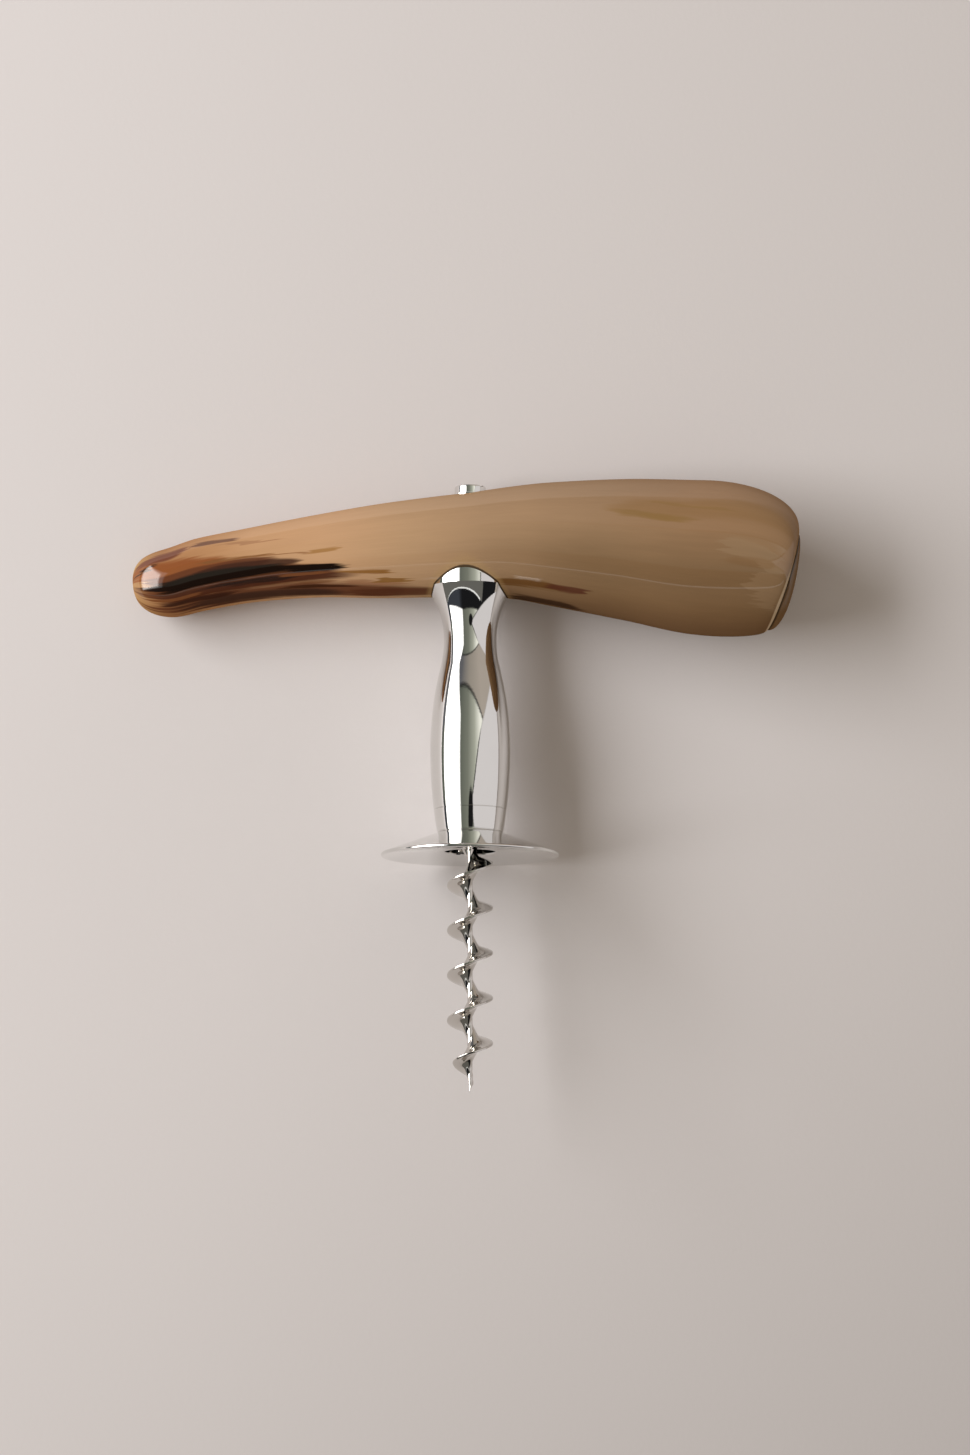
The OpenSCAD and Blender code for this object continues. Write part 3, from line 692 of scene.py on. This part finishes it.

# %% [markdown]
# ## The streaks of the horn
# Horn grows in long fibres, so everything in it is drawn out lengthwise: a tan ground that
# turns to amber at the tip and to grey-brown at the belly, black and red-brown streaks in the
# tip half, and a few ochre ones. Noise alone would put the streaks anywhere, so each one is
# given as a soft band. A band runs from one place to another, and a place is written as
# millimetres along the horn and degrees up from its front.

# %% Place the streaks
streaks = [  # colour, strength, start, end, half widths in degrees, how ragged, how soft
    # The orange patch, the violet one by the tip, and the darker underside, partly the horn's own tone and
    # partly painted shade
    ((0.25, 0.13, 0.04), 0.5, (28, 24), (80, 34), (9, 16), 0.2, 0.8),
    ((0.25, 0.075, 0.02), 0.95, (-80, 20), (-49, -4), (27, 8), 0.25, 0.8),
    ((0.16, 0.05, 0.027), 0.95, (-75, 36), (-61, 38), (12, 12), 0.3, 0.7),
    # These three bands on the underside are partly the horn's own tone and partly painted shade
    ((0.13, 0.044, 0.02), 0.95, (-75, -58), (-8, -70), (26, 19), 0.35, 0.8),
    ((0.05, 0.024, 0.016), 0.85, (-66, -62), (-26, -76), (13, 16), 0.3, 0.8),
    ((0.10, 0.034, 0.016), 0.9, (-28, -70), (0, -76), (14, 13), 0.35, 0.8),
    # The red-brown field by the tip, and the black streaks in it
    ((0.115, 0.036, 0.013), 0.95, (-76, -26), (-26, -33), (27, 13), 0.3, 0.6),
    ((0.12, 0.034, 0.012), 0.95, (-73, -6), (-42, -9), (9, 9), 0.4, 0.6),
    ((0.05, 0.013, 0.006), 0.95, (-58, -9), (-35, -15), (8, 6), 0.45, 0.8),
    ((0.075, 0.021, 0.008), 0.97, (-74, -40), (-23, -41), (14, 8), 0.45, 0.8),
    ((0.20, 0.07, 0.022), 0.8, (-73, -40), (-58, -42), (4, 3), 0.4, 0.8),
    ((0.011, 0.0055, 0.0035), 1.0, (-73, -18), (-37, -24.5), (14, 11.5), 0.36, 0.7),
    ((0.011, 0.0055, 0.0035), 1.0, (-46, -25), (-25, -28), (9, 5), 0.34, 0.7),
    ((0.015, 0.006, 0.004), 0.8, (-60, -36), (-36, -38), (4.5, 3.5), 0.45, 0.8),
    ((0.19, 0.065, 0.02), 0.8, (-41, -35), (-29, -36), (2.6, 2), 0.4, 0.8),
    ((0.15, 0.055, 0.02), 0.75, (-46, -48), (-30, -49), (3, 2), 0.4, 0.8),
    ((0.04, 0.014, 0.008), 0.9, (-71, -50), (-51, -54), (6, 6), 0.4, 0.8),
    ((0.05, 0.018, 0.008), 0.9, (-42, -56), (-24, -57), (4, 2.6), 0.4, 0.8),
    ((0.30, 0.14, 0.07), 0.7, (-30, -48), (-12, -56), (3, 4), 0.4, 0.8),
    # Thin marks above the dark field
    ((0.13, 0.052, 0.028), 0.9, (-62, 45), (-48.5, 39), (7, 4.5), 0.35, 0.8),
    ((0.34, 0.17, 0.085), 0.7, (-57, 33), (-38, 22), (3, 2), 0.4, 0.8),
    ((0.045, 0.018, 0.01), 0.9, (-76.5, 4), (-69, 27), (5.5, 4), 0.2, 0.7),
    ((0.20, 0.08, 0.025), 0.8, (-60, 5), (-43, -1), (3.5, 2.2), 0.4, 0.8),
    ((0.24, 0.10, 0.032), 0.7, (-52, 2), (-34, -5), (2.4, 1.6), 0.4, 0.8),
    # The ochre ones, the reddish and dark ones past the stem, and two painted reflections near the cut
    ((0.24, 0.098, 0.015), 0.9, (-29, -37), (-15.5, -40), (4.8, 2.4), 0.4, 0.8),
    ((0.23, 0.10, 0.018), 0.85, (-20.5, -48), (-10.5, -51), (4, 2.4), 0.4, 0.8),
    ((0.33, 0.16, 0.045), 0.85, (-36, -3), (-27.5, -2.5), (3.2, 2.4), 0.2, 0.8),
    ((0.13, 0.055, 0.014), 0.9, (6, -55), (22, -54), (8, 6), 0.3, 0.8),
    ((0.095, 0.03, 0.016), 0.9, (16, -55), (27.5, -54), (6, 4.5), 0.3, 0.8),
    ((0.045, 0.02, 0.01), 0.9, (8, -82), (27, -84), (13, 10), 0.3, 0.8),
    ((0.235, 0.13, 0.035), 0.75, (29, 20.5), (50, 17), (4.4, 3), 0.25, 1.0),
    ((0.25, 0.14, 0.045), 0.5, (40, 32), (58, 28), (3, 2), 0.25, 0.8),
    # Painted reflections: a paler lens-shaped highlight and a paler triangle near the cut
    ((0.31, 0.20, 0.11), 0.45, (54, -1), (66, -2), (9, 7), 0.1, 0.5),
    ((0.31, 0.20, 0.11), 0.4, (60, -22), (70, -30), (16, 30), 0.1, 0.5),
]
print(len(streaks), "streaks")

# %% [markdown]
# ## The colours of the horn
# The material first makes two numbers from the note on the mesh, the place along the horn and
# the angle from its front, and bends both with stretched noise, so no border is straight. The
# ground colour is a ramp along the horn, and the streaks are laid over it one by one. Some of
# these marks are painted light and shade: painted shade on the underside and in the gap by the
# stem, a painted glow round the stem, and painted highlights and reflections near the cut. The
# polish is a clear coat. It fades towards the rim, which a full coat would turn grey, and
# towards the underside.

# %% Mix the horn
ramp_length = 144.0  # millimetres


def horn_material(name, plate=False):
    material, bench, surface = new_material(name)
    note = bench.wire("ShaderNodeAttribute", {"attribute_name": "grain"}, out=1)
    split = bench.node("ShaderNodeSeparateXYZ", None, {0: note})
    x, back, up = [Wire(bench, split.outputs[i]) for i in range(3)]
    angle = bench.wire("ShaderNodeMath", {"operation": "ARCTAN2"}, {0: up, 1: -back}) * (180 / math.pi)

    def fibre(long, fine, seed, detail=3.0):
        """Noise drawn out along the horn, between -1 and 1."""
        spot = bench.wire("ShaderNodeCombineXYZ", None, {
            "X": x * long, "Y": back * fine, "Z": up * fine + seed})
        noise = bench.wire("ShaderNodeTexNoise", None, {"Vector": spot, "Scale": 1.0, "Detail": detail})
        return (noise - 0.5) * 3.2

    to_cut = bench.wire("ShaderNodeAttribute", {"attribute_name": "to_cut"}, out=2)
    broad, lines, fine = fibre(0.035, 2.2, 0.0), fibre(0.06, 9.0, 4.0, 4.0), fibre(0.12, 34.0, 9.0)
    wob_x, wob_a = x + lines * 4.5 + fine * 1.5, angle + broad * 4.0 + lines * 2.0

    def streak(start, end, wide, ragged, soft):
        """1 inside a band that runs from one (x, angle) to another, with frayed borders."""
        share = (wob_x - start[0]) / (end[0] - start[0])
        across = (wob_a - start[1] - (end[1] - start[1]) * share) / (wide[0] + (wide[1] - wide[0]) * share)
        along = share * 2 - 1
        return (1 - across * across - along ** 4 + ragged * (lines + 0.5 * fine)).smooth(0, soft)

    def paint(colour, mask, over):
        """Lays a colour over another where the mask is 1."""
        return bench.wire("ShaderNodeMix", {"data_type": "RGBA"}, {0: mask, 6: over, 7: (*colour, 1)}, out=2)

    look = bench.wire("ShaderNodeValToRGB", {"stops": [
        (0.0, (0.46, 0.29, 0.13)), (0.012, (0.40, 0.22, 0.09)), (0.05, (0.36, 0.17, 0.07)),
        (0.13, (0.46, 0.24, 0.11)), (0.20, (0.52, 0.295, 0.15)), (0.30, (0.53, 0.31, 0.165)),
        (0.42, (0.46, 0.285, 0.155)), (0.55, (0.375, 0.235, 0.13)), (0.72, (0.325, 0.20, 0.108)),
        (0.88, (0.31, 0.178, 0.09)), (1.0, (0.33, 0.19, 0.09))]},
        {"Fac": (x + broad * 2.0 + tip_reach) / ramp_length})
    if not plate:
        # Broad tones first: the darker lower half of the belly and the darker underside, partly the horn's
        # own tone and partly painted shade
        look = paint((0.185, 0.108, 0.050), 0.8 * x.smooth(-8, 30) * wob_a.smooth(24, -28), look)
        look = paint((0.18, 0.098, 0.048), 0.6 * x.smooth(-30, 10) * wob_a.smooth(-44, -74), look)
        for colour, strength, *band in streaks:
            look = paint(colour, strength * streak(*band), look)
        # Then painted light and shade: a painted highlight along the lower rim of the cut, a painted glow
        # round the stem, and painted shade in the thin gap beside it
        look = paint((0.66, 0.50, 0.33), 0.85 * to_cut.smooth(1.2, 0.9) * angle.smooth(14, -20), look)
        to_stem = bench.wire("ShaderNodeAttribute", {"attribute_name": "to_stem"}, out=2)
        # Painted glow round the stem
        look = paint((0.44, 0.28, 0.12), 0.35 * to_stem.smooth(1.7, 0.5), look)
        # Painted shade in the gap between the stem and the horn
        look = paint((0.035, 0.022, 0.012), 0.88 * to_stem.smooth(0.30, 0.12), look)
    else:
        look = paint((0.175, 0.098, 0.044), 0.85, look)
        look = paint((0.07, 0.042, 0.022), 0.9 * to_cut.smooth(0.6, 0.25), look)
    shade = 1 + 0.035 * lines + 0.03 * fine + 0.03 * broad
    look = bench.wire("ShaderNodeVectorMath", {"operation": "SCALE"}, {0: look, "Scale": shade})
    bump = bench.wire("ShaderNodeBump", None, {"Height": 0.6 * lines + 0.4 * fine, "Strength": 0.04,
                                               "Distance": 0.0002})
    grazing = bench.wire("ShaderNodeLayerWeight", None, {"Blend": 0.5}, out=1)
    coat = (0.95 - 0.85 * grazing.smooth(0.25, 0.85)) * angle.smooth(-57, -28)
    connect(bench, surface, Base_Color=look, Roughness=0.34 + 0.05 * lines.smooth(0.0, 1.0), IOR=1.45,
            Specular_IOR_Level=0.0, Coat_Weight=coat, Coat_Roughness=0.035, Coat_IOR=1.6, Normal=bump)
    return material


horn.data.materials.clear()
horn.data.materials.append(horn_material("polished_horn"))
end_plate.data.materials.clear()
end_plate.data.materials.append(horn_material("polished_horn_plate", plate=True))
print("horn materials made")

# %% [markdown]
# ## Hand the pieces over
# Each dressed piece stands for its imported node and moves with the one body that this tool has.

# %% Pieces stand for their nodes
for piece, node in ((horn, "horn_handle"), (end_plate, "horn_end_plate"), (screw, "top_screw"),
                    (washer, "top_washer"), (stem, "stem"), (ferrule, "ferrule"),
                    (guard_disc, "guard_disc"), (worm, "worm"), (root, "worm")):
    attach(piece, "root")
    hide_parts(node)
print("hidden nodes:", sorted(n for n, o in frame["nodes"].items() if o.hide_render))

# %% [markdown]
# ## The table
# The tool lies on warm grey paper that runs far past the view. A very faint grain keeps it from
# looking like plastic. Its colour is painted darker towards the near right corner, as painted shade where the
# light falls off.

# %% Lay the paper
paper_reach = 3.0  # metres


def paper():
    mesh = bpy.data.meshes.new("paper")
    mesh.from_pydata([(paper_reach * a, paper_reach * b, 0) for a, b in ((-1, -1), (1, -1), (1, 1), (-1, 1))],
                     [], [(0, 1, 2, 3)])
    sheet = bpy.data.objects.new("paper", mesh)
    bpy.context.scene.collection.objects.link(sheet)
    material, bench, surface = new_material("warm_paper")
    place = bench.wire("ShaderNodeTexCoord", out=3)
    cloud = bench.wire("ShaderNodeTexNoise", None, {"Vector": place, "Scale": 9.0, "Detail": 4.0})
    grain = bench.wire("ShaderNodeTexNoise", None, {"Vector": place, "Scale": 900.0, "Detail": 2.0})
    bump = bench.wire("ShaderNodeBump", None, {"Height": grain, "Strength": 0.08, "Distance": 0.0003})
    colour = bench.wire("ShaderNodeMix", {"data_type": "RGBA"}, {
        0: cloud, 6: (0.675, 0.634, 0.622, 1), 7: (0.69, 0.649, 0.637, 1)}, out=2)
    split = bench.node("ShaderNodeSeparateXYZ", None, {0: place})
    # Painted shade: the paper's colour darkens towards the near right corner
    nearer = Wire(bench, split.outputs[0]) * 0.6 - Wire(bench, split.outputs[1])
    colour = bench.wire("ShaderNodeMix", {"data_type": "RGBA"}, {
        0: nearer.smooth(-0.01, 0.30), 6: colour, 7: (0.57, 0.535, 0.525, 1)}, out=2)
    connect(bench, surface, Base_Color=colour, Roughness=0.9, Specular_IOR_Level=0.0, Normal=bump)
    sheet.data.materials.append(material)
    return sheet


floor = paper()

# %% [markdown]
# ## Light
# A large soft box stands on the left and a little behind, so the shadows fall to the right and
# forwards, and light from the room fills them. The lamp itself only lights. What chrome and the
# horn's polish mirror is drawn in the world, where a studio is easy to lay out: looking up from
# the tool, each straight edge of a box or a card is a straight line in (x / z, y / z).

# %% Stand the soft box
def panel(name, low, high, middle_y, length, colour, radiance):
    """A rectangular lamp between two edges (x, z) that faces the tool."""
    low, high = Vector((low[0], middle_y, low[1])), Vector((high[0], middle_y, high[1]))
    light = bpy.data.lights.new(name, "AREA")
    light.shape, light.size, light.size_y = "RECTANGLE", (high - low).length, length
    light.color = colour
    light.energy = radiance * math.pi * light.size * length
    lamp = bpy.data.objects.new(name, light)
    bpy.context.scene.collection.objects.link(lamp)
    side = (high - low).normalized()
    away = side.cross(Vector((0, 1, 0)))
    away = away if away.dot(low + high) > 0 else -away
    lamp.matrix_world = (Matrix.Translation((low + high) / 2)
                         @ Matrix((side, away.cross(side), away)).transposed().to_4x4())
    lamp.visible_camera = lamp.visible_glossy = False
    print(name, "is", round(light.size, 2), "by", length, "m,", round(light.energy, 2), "W")
    return lamp


panel("soft_box", (-1.19, 0.50), (-0.70, 0.98), 0.36, 1.15, (0.96, 0.975, 1.0), 7.1)

# %% [markdown]
# The world then holds three things: the fill light, the studio that mirrors show, and the pale
# backdrop that only the camera sees. The studio has the soft box with a hotter middle on the
# left, a pale card on the right, a sloping ceiling that brightens to the right, a beige wall
# behind, the dark side where the photographer stands, and the dark camera overhead.

# %% Draw the studio
world = bpy.data.worlds.new("studio")
bpy.context.scene.world = world
world.use_nodes = True
world.node_tree.nodes.clear()
bench = Bench(world.node_tree)
way = bench.node("ShaderNodeSeparateXYZ", None, {0: bench.wire("ShaderNodeTexCoord")})
height = Wire(bench, way.outputs[2]).most(0.02)
gx, gy = Wire(bench, way.outputs[0]) / height, Wire(bench, way.outputs[1]) / height


def beyond(a, b, c, soft=0.03):
    """1 where a * gx + b * gy + c is above 0."""
    return (a * gx + b * gy + c).smooth(-soft, soft)


def card(colour, masks, under):
    """Lays a colour over what is under it, where all the masks are 1."""
    mask = masks[0]
    for other in masks[1:]:
        mask = mask * other
    colour = colour if isinstance(colour, Wire) else (*colour, 1)
    return bench.wire("ShaderNodeMix", {"data_type": "RGBA"}, {0: mask, 6: under, 7: colour}, out=2)


def fade(value, stops):
    return bench.wire("ShaderNodeValToRGB", {"stops": stops}, {"Fac": value})


wall = fade((gx + 1) / 2, [(0.15, (0.14, 0.14, 0.15)), (0.5, (0.36, 0.32, 0.27)), (0.9, (0.47, 0.41, 0.35))])
ceiling = fade((gx + 0.6) / 1.4, [(0.0, (0.13, 0.14, 0.115)), (0.35, (0.22, 0.23, 0.185)),
                                  (0.6, (0.45, 0.46, 0.38)), (0.85, (1.0, 0.99, 0.88))])
# The dark room first, then the wall behind and the ceiling with a dark strip between them
studio = card((0.012, 0.012, 0.013), [beyond(0, 1, 9)], wall)
studio = card(wall, [beyond(0.2, 1, -0.70)], studio)
studio = card(ceiling, [beyond(-0.2, -1, 0.66), beyond(0, 1, 0.33)], studio)
# The pale card on the right, with a thin dark border
studio = card((0.10, 0.10, 0.09), [beyond(0.74, -1, -0.05, 0.01), beyond(0.5, -1, 0.08),
                                   beyond(0.62, 1, 0.0)], studio)
studio = card((0.76, 0.72, 0.71), [beyond(0.74, -1, -0.09, 0.015), beyond(0.5, -1, 0.08),
                                   beyond(0.62, 1, -0.04)], studio)
# The photographer's side: a dark blue-grey corner, a dim card, and the bright edge of that card
studio = card((0.05, 0.055, 0.065), [beyond(-1, 0, -0.7, 0.2), beyond(0, -1, -0.35)], studio)
studio = card((0.15, 0.145, 0.13), [beyond(0.33, -1, -0.93), beyond(-1, 0, 0.9)], studio)
studio = card((1.0, 1.0, 0.97), [beyond(0.33, -1, -0.86, 0.015), beyond(-0.33, 1, 0.93, 0.015),
                                 beyond(-1, 0, 0.7)], studio)
# The soft box on the left and its hotter middle
studio = card((1.35, 1.34, 1.31), [beyond(-1, 0, -0.555, 0.03), beyond(-0.317, 1, 0.165),
                                   beyond(-0.746, -0.585, -0.12, 0.02), beyond(1, 0, 6.8, 0.4)], studio)
studio = card((8.5, 8.2, 7.9), [beyond(-1, 0, -0.70, 0.06), beyond(1, 0, 4.5, 1.8),
                                beyond(-0.317, 1, 0.05, 0.1), beyond(-0.746, -0.585, -0.22, 0.08)], studio)
# The camera overhead
lens_x, lens_y = gx - 0.04, gy + 0.07
studio = card((0.012, 0.012, 0.012), [(lens_x * lens_x + lens_y * lens_y).smooth(0.024, 0.012)], studio)
fill_light, backdrop = (0.37, 0.33, 0.28, 1), (0.66, 0.62, 0.585)
seen = bench.node("ShaderNodeLightPath")
room = card(studio, [Wire(bench, seen.outputs["Is Glossy Ray"])], fill_light)
room = card(backdrop, [Wire(bench, seen.outputs["Is Camera Ray"])], room)
air = bench.wire("ShaderNodeBackground", None, {"Color": room, "Strength": 1.0})
bench.node("ShaderNodeOutputWorld", None, {"Surface": air})
print("the studio has", len(world.node_tree.nodes), "nodes")

# %% [markdown]
# ## The camera
# The photograph was taken from almost straight above with a long lens, a little from the worm's
# side, so that the underside of the guard disc just shows. The lens follows from the scale of
# the photograph: 1455 pixels high, 4.57 pixels to the millimetre, from 750 mm away.

# %% Hang the camera
target, distance = Vector((0.00445, 0.01221, 0.019)), 0.75
pixels_per_mm, photo_height, sensor = 4.571, 1455, 36
azimuth, elevation, roll = (math.radians(v) for v in (-0.016, 87.54, -0.478))
back_dir = Vector((math.sin(azimuth) * math.cos(elevation), -math.cos(azimuth) * math.cos(elevation),
                   math.sin(elevation)))
plain_up = Vector((-math.sin(azimuth) * math.sin(elevation), math.cos(azimuth) * math.sin(elevation),
                   math.cos(elevation)))
plain_right = plain_up.cross(back_dir)
right = plain_right * math.cos(roll) + plain_up * math.sin(roll)
upward = plain_up * math.cos(roll) - plain_right * math.sin(roll)
lens = bpy.data.cameras.new("photo_camera")
lens.sensor_width = sensor
lens.lens = sensor / (photo_height / pixels_per_mm / 1000) * distance
camera = bpy.data.objects.new("photo_camera", lens)
bpy.context.scene.collection.objects.link(camera)
camera.matrix_world = (Matrix.Translation(target + back_dir * distance)
                       @ Matrix((right, upward, back_dir)).transposed().to_4x4())
bpy.context.scene.camera = camera
print("lens", round(lens.lens, 1), "mm")

# %% [markdown]
# ## Finish
# Last, the view transform is set to Standard and the scene is brought up to date.

# %% Finish
bpy.context.scene.view_settings.view_transform = "Standard"
bpy.context.view_layer.update()
